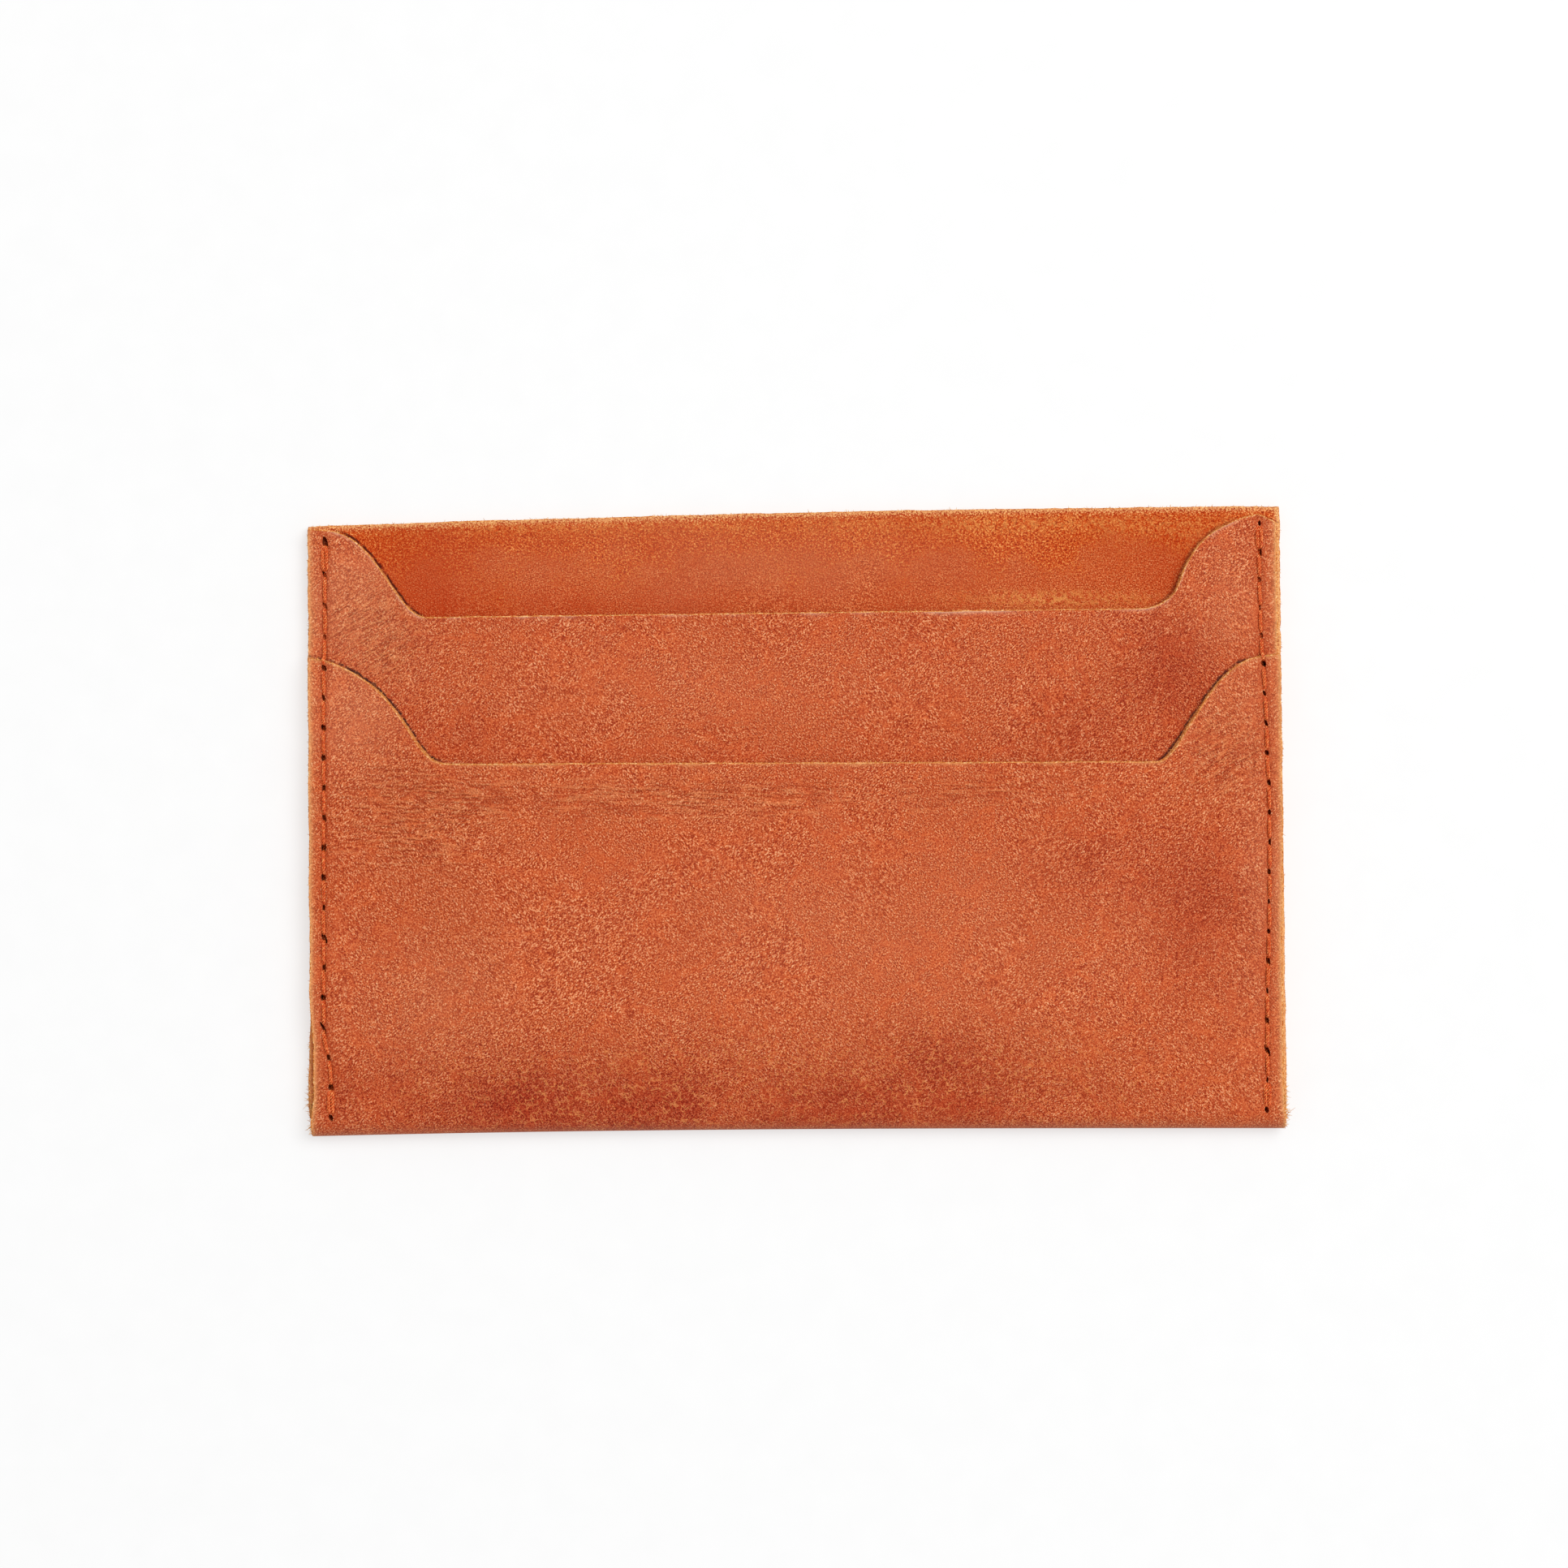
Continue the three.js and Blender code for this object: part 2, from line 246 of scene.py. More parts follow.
seam = {
    "inset": 1.85,
    "leftStep": 0.75,  # the left seam steps inwards just above the fold
    "stepZone": (-21, -26),
    "rightInset": 2.8,
    "rightBow": (0.9, 0.2),  # the right seam bows outwards, and near the fold comes back a little
    "bowZones": ((27, -2), (-8, -18)),
    "pitch": 3.0,
    "topMargin": 1.75,
    "foldMargin": 2.0,
    "bridgeDrop": 0.75,  # one hole sits this far below the front's shoulder
    "shoulderLevel": 16.0,  # about the height at which the seams pass that shoulder
    "frontDent": 0.24,  # how deep the thread presses into the leather
    "backDent": 0.44,
    "dentWidth": 0.30,
    "dentFade": (0.9, 0.3),  # the dent starts between these distances past the end holes
    "tackWiden": (0.55, 0.4),  # it is wider by this share at the doubled stitches, over this length
    "dentSkirt": (0.16, 1.5),  # the shallow bowl on both sides of it, as a share of its depth, and its reach
    "slitLength": (1.2, 1.0),  # left and right seam
    "slitWidth": (0.42, 0.36),
    "slitSlant": (0.22, 0.20),  # radians off the seam's line
    "slitSpread": 0.42,  # how much the slits differ from one another, as a share
}

stackTop = 3 * layers["leather"] + 2 * layers["gap"]
innerBase = layers["leather"] + layers["gap"]


def across(x):
    return (x - left) / width


def leftEdge(y):
    return left + cut["leftLean"] * (top - y) / height


def rightEdge(y):
    return right - cut["rightLean"] * (y - bottom) / height


def foldLine(x):
    return bottom + cut["foldRise"] * (1 - (1 - across(x)) ** 3)


def straightTop(x):
    return top - cut["topRise"] * (1 - across(x))


def topLine(x):
    s = across(x)
    crown = 4 * cut["topCrown"] * s * (1 - s)
    return straightTop(x) + crown + cut["knifeSway"] * waves(x, 0 * x, 3.1, 5, 3)


def bezier(p0, p1, p2, p3, steps=40):
    # the cubic with these four points: (1-t)^3 p0 + 3(1-t)^2 t p1 + 3(1-t) t^2 p2 + t^3 p3
    t = np.linspace(0, 1, steps)[:, None]
    p0, p1, p2, p3 = (np.array(p, dtype=float) for p in (p0, p1, p2, p3))
    return (1 - t) ** 3 * p0 + 3 * (1 - t) ** 2 * t * p1 + 3 * (1 - t) * t**2 * p2 + t**3 * p3


def mouthEnd(mouth, side, word):
    # one end of a mouth: points from the sheet's corner in to where the S-curve meets the straight part
    end = mouth[word]
    edge = side * width / 2 + (left + right) / 2
    footX = edge - side * (end["run"] + end["span"] + mouthInset)
    footY = straightTop((left + right) / 2) - mouth["drop"] + mouth["rise"] * (across(footX) - 0.5)
    shoulderX, shoulderY = footX + side * end["span"], footY + end["horn"]
    curve = bezier(
        (shoulderX, shoulderY),
        (shoulderX - side * end["lead"], shoulderY - end["dip"]),
        (footX + side * end["settle"], footY),
        (footX, footY),
    )
    cornerY = shoulderY + mouth["cornerRise"][word] * (1 + mouthPast / end["run"])
    return np.vstack([[(edge + side * mouthPast, cornerY)], curve])


def mouthCurve(mouth):
    # the whole mouth from left to right as points on its curves
    return np.vstack([mouthEnd(mouth, -1, "left"), mouthEnd(mouth, 1, "right")[::-1]])


curves = {which: mouthCurve(mouth) for which, mouth in mouths.items()}


def mouthHeight(which, x):
    curve = curves[which]
    sway = cut["knifeSway"] * cut["mouthSway"] * waves(x, 0 * x, 2.3, mouths[which]["seed"], 3)
    return np.interp(x, curve[:, 0], curve[:, 1]) + sway


def swell(x):
    # 0 in the pressed strip along each side, 1 at mid-width
    fromSide = width / 2 - np.abs(x)
    return smooth(fromSide, layers["flatZone"], layers["flatZone"] + layers["swellZone"])


def seamX(side, y):
    # where a seam runs at each height
    leftSeam = left + seam["inset"] + seam["leftStep"] * smooth(y, *seam["stepZone"])
    outwards, inwards = (bow * smooth(y, *zone) for bow, zone in zip(seam["rightBow"], seam["bowZones"]))
    return np.where(side < 0, leftSeam, right - seam["rightInset"] + outwards - inwards)


def evenStitches(start, end):
    # whole stitches, as near the pitch as can be
    count = max(1, round((start - end) / seam["pitch"]))
    return [start - (start - end) * i / count for i in range(count)]


def shoulderHeight(side):
    return float(mouthHeight("front", seamX(side, seam["shoulderLevel"])))


def needleHoles(side):
    x = float(seamX(side, 0.0))
    first = straightTop(x) - seam["topMargin"]
    last = foldLine(x) + seam["foldMargin"]
    bridge = shoulderHeight(side) - seam["bridgeDrop"]
    return np.array([*evenStitches(first, bridge), *evenStitches(bridge, last), last])


# Families of creases: centre x and y, reach in x and y, direction in radians, spacing, height and seed.
frontCreases = [
    (-10, 2.6, 34, 3.0, 0.02, 1.25, 0.045, 41),
    (-43, -3.0, 7, 6.0, 0.10, 1.7, 0.07, 42),
    (30, 2.0, 10, 4.0, -0.06, 1.5, 0.035, 43),
    (-26, -27.5, 18, 4.0, 0.15, 1.6, 0.05, 44),
]
innerCreases = [
    (-44.5, 16.8, 4.5, 2.6, 0.62, 1.1, 0.075, 45),
    (41.5, 17.5, 4.0, 3.5, -0.7, 1.3, 0.05, 46),
    (0, 10.0, 36, 3.0, 0.0, 1.6, 0.025, 47),
]


def creaseRelief(x, y, families):
    # each family: a bell-shaped patch of sine ridges, bent and broken by noise
    total = np.zeros(x.shape)
    for centreX, centreY, reachX, reachY, turn, spacing, rise, seed in families:
        dx, dy = x - centreX, y - centreY
        along = dx * math.cos(turn) + dy * math.sin(turn)
        over = dy * math.cos(turn) - dx * math.sin(turn)
        bend = 0.55 * waves(along, over * 2, 6.0, seed, 2)
        broken = 0.5 + 0.5 * waves(along, over * 3, 4.0, seed + 100, 2)
        ridges = np.sin(2 * math.pi * (over / spacing + bend))
        total += rise * bell(dx, reachX) * bell(dy, reachY) * broken * ridges
    return total


def handFeel(x, y, seed):
    # the unevenness of a handled hide: slow waves and quicker, lower ones
    (slow, slowCell), (quick, quickCell) = layers["feel"]
    return slow * waves(x, y, slowCell, seed, 2) + quick * waves(x, y, quickCell, seed + 1, 2)


def seamDent(x, y, depth):
    # the valley that a seam presses along both stitch lines, wider under the doubled stitches at its ends
    total = np.zeros(x.shape)
    outside, inside = seam["dentFade"]
    widen, over = seam["tackWiden"]
    skirt, skirtReach = seam["dentSkirt"]
    for side in (-1, 1):
        holes = needleHoles(side)
        offset = x - seamX(side, y)
        above = smooth(y, holes[0] + inside, holes[0] + outside)
        inRange = smooth(y, holes[-1] - outside, holes[-1] - inside) * (1 - above)
        doubled = np.maximum(smooth(y, holes[1], holes[1] + over), 1 - smooth(y, holes[-2] - over, holes[-2]))
        trough = bell(offset, seam["dentWidth"] * (1 + widen * doubled)) + skirt * bell(offset, skirtReach)
        total += depth * trough * inRange
    return total


grid = {
    "outerColumns": 190,
    "innerColumns": 236,
    "seamPacking": (4.2, 1.1),  # how much closer columns are along a seam, and over what reach
    "curvePacking": (0.9, (12, 18)),  # the same over the S-curves, and where that ends, from a side
    "backRows": 92,
    "foldRows": 15,
    "frontRows": 110,
    "innerRows": 165,
    "frontPacking": 1.25,  # rows are packed closer to the mouth, by this power
    "innerPacking": 1.5,
}


def columnShares(count):
    # Shares from 0 to 1 across the width, packed closer along the seams and over the S-curves. The wanted
    # density is summed up and turned round.
    s = np.linspace(0, 1, 4000)
    fromSide = np.minimum(s, 1 - s) * width
    (atSeam, reach), (atCurve, zone) = grid["seamPacking"], grid["curvePacking"]
    density = 1 + atSeam * bell(fromSide - seam["inset"], reach) + atCurve * (1 - smooth(fromSide, *zone))
    total = np.concatenate([[0], np.cumsum((density[1:] + density[:-1]) / 2)])
    return np.interp(np.linspace(0, 1, count), total / total[-1], s)


def handCut(y, seed, ragSeed):
    # how far a side strays from its line: the knife's sway and the rag of the fibres
    sway = cut["knifeSway"] * waves(0 * y, y, cut["swayCell"], seed, 4)
    return sway + cut["rag"] * waves(0 * y, y, cut["ragCell"], ragSeed, 2)


def spreadColumns(shares, y, leftInset, rightInset, seed):
    # x of each grid point between the two leaning side edges, each cut by hand
    start = leftEdge(y) + leftInset + handCut(y, seed, seed + 2)
    end = rightEdge(y) - rightInset + handCut(y, seed + 1, seed + 3)
    return start + (end - start) * shares


def gridQuads(rows, columns, first=0):
    index = first + np.arange(rows * columns).reshape(rows, columns)
    return np.stack([index[:-1, :-1], index[:-1, 1:], index[1:, 1:], index[1:, :-1]], axis=-1).reshape(-1, 4)


def sheetMesh(name, middle, dent, materials, attributes, seed):
    # A closed sheet of leather around a middle surface given on a grid (rows, columns, 3). Each face lies
    # half a thickness along the normal, less the dent on the outer face, and a worn, fibrous cut edge joins
    # them.
    rows, columns = middle.shape[:2]
    normal = unit(np.cross(np.gradient(middle, axis=1), np.gradient(middle, axis=0)))
    half = layers["leather"] / 2
    outer = middle + normal * (half - dent)[..., None]
    inner = middle - normal * half

    index = np.arange(rows * columns).reshape(rows, columns)
    loop = np.concatenate([index[0, :-1], index[:-1, -1], index[-1, :0:-1], index[:0:-1, 0]])
    border = middle.reshape(-1, 3)[loop]
    up = normal.reshape(-1, 3)[loop]
    along = unit(np.roll(border, -1, axis=0) - np.roll(border, 1, axis=0))
    out = unit(np.cross(along, up))
    travelled = np.cumsum(np.linalg.norm(border - np.roll(border, 1, axis=0), axis=1))

    # The edge's section, from outer face to inner face: a quarter round, a straight cut and a quarter round
    r = layers["edgeRound"]
    turn = np.radians([30, 60, 90])
    reach = np.concatenate([r * np.sin(turn), [r, r, r], r * np.sin(turn[::-1])])
    corner = half - r * (1 - np.cos(turn))
    rise = np.concatenate([corner, [0.4 * half, 0, -0.4 * half], -corner[::-1]])
    rough = layers["edgeRough"] * waves(travelled[None, :], 9.0 * rise[:, None], layers["roughCell"], seed, 3)
    edge = border + out * (reach[:, None] + rough)[..., None] + up * rise[:, None, None]

    faces = rows * columns
    points = np.concatenate([outer.reshape(-1, 3), inner.reshape(-1, 3), edge.reshape(-1, 3)])
    edgeRings = 2 * faces + np.arange(edge.shape[0] * len(loop)).reshape(edge.shape[0], -1)
    rings = np.vstack([loop, edgeRings, faces + loop])
    following = np.roll(rings, -1, axis=1)
    rim = np.stack([rings[:-1], rings[1:], following[1:], following[:-1]], axis=-1).reshape(-1, 4)
    quads = gridQuads(rows, columns)
    faceSets = [(quads, 0), (gridQuads(rows, columns, faces)[:, ::-1], 1), (rim, 2)]
    full = {}
    for key, values in attributes.items():
        flat = values.ravel()
        full[key] = np.concatenate([flat, flat, np.tile(flat[loop], edge.shape[0])])
    obj = makeMesh(name, points, faceSets, materials, full)
    return obj, {"at": border + out * r, "out": out, "up": up, "along": along}


slit = {
    "blunt": 0.45,  # how much the lens is drawn in towards its two ends
    "curl": (0.22, 3.2),  # how much it bends, and how fast along its length
    "stray": 0.12,  # how far a slit may sit off the seam's line
    "upperFloor": 0.84,  # the slits from the front end at this height, in the back's leather
    "lowerRoof": 0.6,  # and the slits from the back at this one
}


def slitCutter():
    # Every needle slit as one mesh of lens-shaped prisms, no two quite alike. Each slit is two prisms, one
    # from the front face and one from the back, because between them the leather closes round the thread.
    random = np.random.default_rng(51)
    ring = np.linspace(0, 2 * math.pi, 12, endpoint=False)
    slits = []
    for number, side in enumerate((-1, 1)):
        holes = needleHoles(side)
        vary = 1 + seam["slitSpread"] * random.uniform(-1, 1, (4, len(holes), 1))
        drawnIn = 1 - slit["blunt"] * np.abs(np.cos(ring)) ** 3
        wide = seam["slitWidth"][number] * vary[0] / 2 * np.sin(ring) * drawnIn
        long = seam["slitLength"][number] * vary[1] / 2 * np.cos(ring)
        wide = wide + slit["curl"][0] * long * np.sin(slit["curl"][1] * long) * (vary[3] - 1)
        turn = seam["slitSlant"][number] * (3 * vary[2] - 2)
        middle = seamX(side, holes)[:, None] + slit["stray"] * (vary[3] - 1)
        x = middle + wide * np.cos(turn) - long * np.sin(turn)
        y = holes[:, None] + wide * np.sin(turn) + long * np.cos(turn)
        slits.append(np.stack([x, y], axis=-1))
    flat = np.concatenate(slits * 2)
    count, sides = flat.shape[:2]
    isUpper = np.arange(count) < count // 2
    belowAll, aboveAll = -3.0, 9.0
    floors = np.where(isUpper, slit["upperFloor"], belowAll)
    roofs = np.where(isUpper, aboveAll, slit["lowerRoof"])
    levels = [np.tile(z[:, None, None], (1, sides, 1)) for z in (floors, roofs)]
    points = np.stack([np.concatenate([flat, level], axis=-1) for level in levels], axis=1)
    index = np.arange(count * 2 * sides).reshape(count, 2, sides)
    after = np.roll(index, -1, axis=2)
    # the lens points run clockwise seen from above, so walls and lids are wound to match
    walls = np.stack([index[:, 0], index[:, 1], after[:, 1], after[:, 0]], axis=-1).reshape(-1, 4)
    return makeMesh("slits", points, [(walls, 0), (index[:, 0], 0), (index[:, 1, ::-1], 0)], [])


def pierce(obj, cutter):
    # cuts the needle slits through a sheet and keeps the slits' rims crisp
    cutting = obj.modifiers.new("needle", "BOOLEAN")
    cutting.operation = "DIFFERENCE"
    cutting.solver = "MANIFOLD"
    cutting.object = cutter
    pierced = bpy.data.meshes.new_from_object(obj.evaluated_get(bpy.context.evaluated_depsgraph_get()))
    obj.modifiers.clear()
    obj.data = pierced
    pierced.shade_smooth()
    pierced.set_sharp_from_angle(angle=math.radians(50))


def outerSheet(materials):
    # The folded strip's middle surface: back, fold and front one after the other, each a function of the
    # share across the width and the share along the strip.
    shares = columnShares(grid["outerColumns"])[None, :]
    tube = stackTop / 2
    bend = tube - layers["leather"] / 2
    r = layers["edgeRound"]
    v = {key: np.linspace(0, 1, grid[key + "Rows"])[:, None] for key in ("back", "fold", "front")}
    v["back"] = np.interp(v["back"], [0, 0.62, 1], [0, 0.26, 1])  # more rows where the back shows
    v["front"] = 1 - (1 - v["front"]) ** grid["frontPacking"]

    # back: from the top edge down to where the fold starts to turn
    x = left + width * shares
    y = (topLine(x) - r) * (1 - v["back"]) + (foldLine(x) + tube) * v["back"]
    proudEnd = [bottom + rise for rise in layers["proudEnd"]]
    proud = layers["backProud"] * smooth(y, *layers["proudZone"]) * smooth(y, *proudEnd)
    x = spreadColumns(shares, y, r - proud, r - layers["rightProud"], 21)
    z = layers["leather"] / 2 + layers["backWave"] * (1 + waves(x, y, 9.0, 61, 2)) * swell(x)
    back = np.stack(np.broadcast_arrays(x, y, z), axis=-1)

    # fold: half a turn round the layers between
    angle = (v["fold"][1:-1] - 0.5) * math.pi
    insets = [r + inset for inset in layers["frontInset"]]
    x = spreadColumns(shares, foldLine(left + width * shares) + 0 * angle, *insets, 23)
    y = foldLine(x) + tube - bend * np.cos(angle)
    z = tube + bend * np.sin(angle) + 0 * x
    fold = np.stack([x, y, z], axis=-1)

    # front: up to the mouth, worked out twice because the sides' insets move each column along the mouth
    x = left + width * shares + 0 * v["front"]
    for _ in range(2):
        slope = np.gradient(mouthHeight("front", x[0]), x[0])
        mouth = mouthHeight("front", x) - r * np.sqrt(1 + slope**2)
        start = foldLine(x) + tube
        y = start + (mouth - start) * v["front"]
        low = smooth(y, bottom + 1, bottom + 4)
        zones = zip(layers["lowerInset"], layers["lowerZone"])
        lower = [low * inset * smooth(y, *zone) for inset, zone in zones]
        x = spreadColumns(shares, y, insets[0] + lower[0], insets[1] + lower[1], 23)
    lift = 2 * layers["room"] * swell(x) * smooth(y - start, *layers["liftZone"])
    quiet = 0.2 + 0.8 * swell(x)
    relief = handFeel(x, y, 71) * quiet + creaseRelief(x, y, frontCreases)
    relief = relief * smooth(y - start, *layers["feelZone"])
    z = stackTop - layers["leather"] / 2 + lift + relief
    front = np.stack([x, y, z], axis=-1)

    middle = np.concatenate([back, fold, front])
    isFront = np.arange(len(middle))[:, None] >= len(back) + len(fold)
    x, y, z = (middle[..., k] for k in range(3))
    dent = np.where(isFront, seamDent(x, y, seam["frontDent"]), 0)
    dent += np.where(z < tube, seamDent(x, y, seam["backDent"]), 0)
    nowhereNear = np.full(fold.shape[:2], 99.0)
    toTop, toMouth = topLine(back[..., 0]) - back[..., 1], mouth - front[..., 1]
    masks = sheetMasks(middle, np.concatenate([toTop, nowhereNear, toMouth]), outerPatches)
    # painted shade: a dark line on the back's flesh just above the inner pocket's mouth, for the shadow under
    # the inner panel's edge
    masks.update(paintedGapShadeMasks("inner", x, y))
    masks["gap"] = np.where(isFront, 0, masks["gap"])
    return sheetMesh("outer_leather", middle, dent, materials, masks, 81)


def innerSheet(materials):
    # the inner pocket's middle surface, from just above the fold up to its mouth
    shares = columnShares(grid["innerColumns"])[None, :]
    r = layers["edgeRound"]
    v = 1 - (1 - np.linspace(0, 1, grid["innerRows"])[:, None]) ** grid["innerPacking"]
    x = left + width * shares + 0 * v
    for _ in range(2):
        slope = np.gradient(mouthHeight("inner", x[0]), x[0])
        mouth = mouthHeight("inner", x) - r * np.sqrt(1 + slope**2)
        start = foldLine(x) + layers["innerStop"] + r
        y = start + (mouth - start) * v
        proud = layers["backProud"] * layers["innerProud"] * smooth(y, *layers["proudZone"])
        outwards = layers["innerLower"] * smooth(y, *layers["lowerZone"][1])
        insets = [r + inset for inset in layers["innerInset"]]
        x = spreadColumns(shares, y, insets[0] - proud, insets[1] - outwards, 25)
    lift = layers["room"] * swell(x)
    relief = handFeel(x, y, 91) * swell(x) * 0.6 + creaseRelief(x, y, innerCreases)
    middle = np.stack([x, y, innerBase + layers["leather"] / 2 + lift + relief], axis=-1)
    shoulder = min(shoulderHeight(-1), shoulderHeight(1))
    dent = seamDent(x, y, seam["frontDent"]) * smooth(y, shoulder - 3, shoulder - 2)
    masks = sheetMasks(middle, mouth - y, innerPatches)
    # painted shade: a dark line on the inner panel just above the front's mouth, for the shadow under the
    # front's edge
    masks.update(paintedGapShadeMasks("front", x, y))
    return sheetMesh("inner_leather", middle, dent, materials, masks, 82)


# Where each sheet has changed with handling: "dark" is waxy and darker, "veined" shows a golden network,
# "dusty" is rubbed pale, "lined" has fine creases across the holder, "fanned" has fine creases that rise to
# the right, and "golden" is loose, light nap on the flesh side. Each patch is its centre's x and y, its
# reach in x and y, and its depth.
outerPatches = {
    "dark": [
        (-25, -28.6, 18, 4.8, 0.6),
        (2, -29.0, 30, 4.0, 0.5),
        (14, -25.8, 8, 5.0, 0.5),
        (41.5, -10.0, 5.5, 7.0, 0.48),
        (33, -4.0, 8, 5, 0.3),
        (-46.5, -27.0, 3.0, 4.0, 0.3),
        (-37, 26.0, 5.0, 5.0, 0.9),
        (-22, 22.0, 14, 1.8, 0.45),
        (38, 27.0, 5.0, 4.0, 0.7),
    ],
    "veined": [
        (-22, -28, 22, 4.6, 1.0),
        (14, -27, 24, 5.0, 0.9),
        (-2, -22, 30, 5.0, 0.2),
    ],
    "dusty": [
        (-45.5, 11.5, 5, 5.5, 0.9),
        (43, 12.5, 4.5, 5.0, 0.4),
        (-38, -18.0, 9, 6, 0.35),
        (10, -12.0, 30, 9, 0.25),
        (48.5, -6.0, 3.0, 20, 0.6),
        (-6, 26.5, 27, 5, 1.0),
    ],
    "golden": [
        (24, 30.4, 16, 1.0, 0.5),
        (-22, 30.2, 24, 0.8, 0.45),
        (26, 22.7, 9, 0.8, 0.8),
        (44, 29.5, 8, 2.5, 0.35),
    ],
    "lined": [
        (-14, 2.4, 24, 2.2, 0.8),
        (-40, 0.5, 9, 5.5, 0.9),
        (18, 3.0, 22, 1.8, 0.5),
        (-30, -12.0, 14, 8.0, 0.25),
    ],
    "fanned": [(43, 6.5, 6, 6, 0.8)],
}
innerPatches = {
    "dark": [
        (38.0, 16.0, 4.6, 4.8, 0.6),
        (30, 10.0, 12, 5.0, 0.28),
        (-34, 9.0, 5, 3.5, 0.3),
    ],
    "veined": [(30, 12.0, 10, 7, 0.25)],
    "dusty": [
        (-45.5, 22.0, 5.5, 6.5, 1.0),
        (45, 22.5, 5.5, 6.5, 0.4),
        (-10, 14.0, 28, 4, 0.2),
    ],
    "lined": [(0, 9.0, 34, 2.5, 0.35)],
    "fanned": [(-43.5, 18.5, 6.0, 5.5, 1.0)],
}


# Painted shade: where the dark line above each mouth's S-curves shows, standing in for the shadow in the gap
# under the panel above
gapShadePaint = {
    "steep": (0.14, 0.55),  # the line grows in between these slopes
    "rightShare": {"front": 0.9, "inner": 0.3},  # it is fainter on the right
    "cornerShare": {"front": 0.6, "inner": 0.0},  # and outside the left seam
}


def paintedGapShadeMasks(which, x, y):
    # Painted shade just above a mouth, standing in for the shadow in the gap under the panel's edge: how far
    # each point is from the mouth, and how much of the dark line shows. The distance is the height above the
    # mouth over the root of 1 + slope squared.
    step = 0.3
    slope = (mouthHeight(which, x + step) - mouthHeight(which, x - step)) / (2 * step)
    away = (y - mouthHeight(which, x)) / np.sqrt(1 + slope**2)
    share = smooth(np.abs(slope), *gapShadePaint["steep"]) * np.where(x < 0, 1.0, gapShadePaint["rightShare"][which])
    share = np.maximum(share, gapShadePaint["cornerShare"][which] * (x < left + seam["inset"]))
    return {"fromMouth": np.clip(away, -1, 3), "gap": share}


fade = {"edge": 0.24, "worn": 0.14, "foldHighlight": 0.65, "nearEdge": 3.5, "seamLine": 0.6}  # the masks' reach


def sheetMasks(middle, toEnd, patchSet):
    # Shares from 0 to 1 for the finishes: the patches above as bell shapes with cloudy rims, "edge" and
    # "nearEdge" by a cut edge, "worn" on the mouth's rubbed lip, "foldHighlight" along the fold, a painted
    # highlight that stands in for the white table's reflection on the fold's curve, and "seamLine".
    x, y = middle[..., 0], middle[..., 1]
    masks = {}
    for number, (key, family) in enumerate(patchSet.items()):
        total = np.zeros(x.shape)
        for centreX, centreY, reachX, reachY, depth in family:
            total += depth * bell(x - centreX, reachX) * bell(y - centreY, reachY)
        cloudy = 1 + 0.35 * waves(x, y, 5.0, 55 + number, 3)
        masks[key] = np.clip(total * cloudy, 0, 1)
    toSide = np.minimum(x - x[:, :1], x[:, -1:] - x) + layers["edgeRound"]
    toEdge = np.maximum(np.minimum(toSide, toEnd), 0)
    uneven = 0.4 + 1.2 * waves(x, y, 2.4, 56, 3)
    masks["edge"] = np.exp(-toSide / fade["edge"])
    masks["worn"] = np.clip(np.exp(-np.maximum(toEnd, 0) / fade["worn"]) * uneven, 0, 1)
    # painted highlight: a pale band along the fold, for the white table's reflection on its curve
    masks["foldHighlight"] = bell(y - foldLine(x), fade["foldHighlight"])
    masks["nearEdge"] = np.exp(-toEdge / fade["nearEdge"])
    masks["seamLine"] = np.clip(sum(bell(x - seamX(side, y), fade["seamLine"]) for side in (-1, 1)), 0, 1)
    return masks


twist = {
    "thread": 0.44,  # diameter
    "lay": 0.95,  # how far a ply travels in one full turn
    "plySpread": 1.155,  # from the thread's line to a ply's line, in ply radii, where three plies touch
    "wander": 0.08,  # how unevenly the plies lie together
    "step": 0.09,
    "sides": 6,
    "tackOffset": 0.2,  # how far a doubled stitch's two threads lie off the seam's line
    "reach": 0.42,  # how far past its hole's middle a stitch comes up
    "square": 5.0,  # the arch's power: 2 is round, and more is flatter on top
    "proud": (0.9, -1.02),  # how far the crest's line stands above the dent, in thread radii, front and back
    "deep": 0.35,  # how far from the stack's middle each thread turns round
    "sway": 0.05,  # how far the thread strays off the seam's line
}


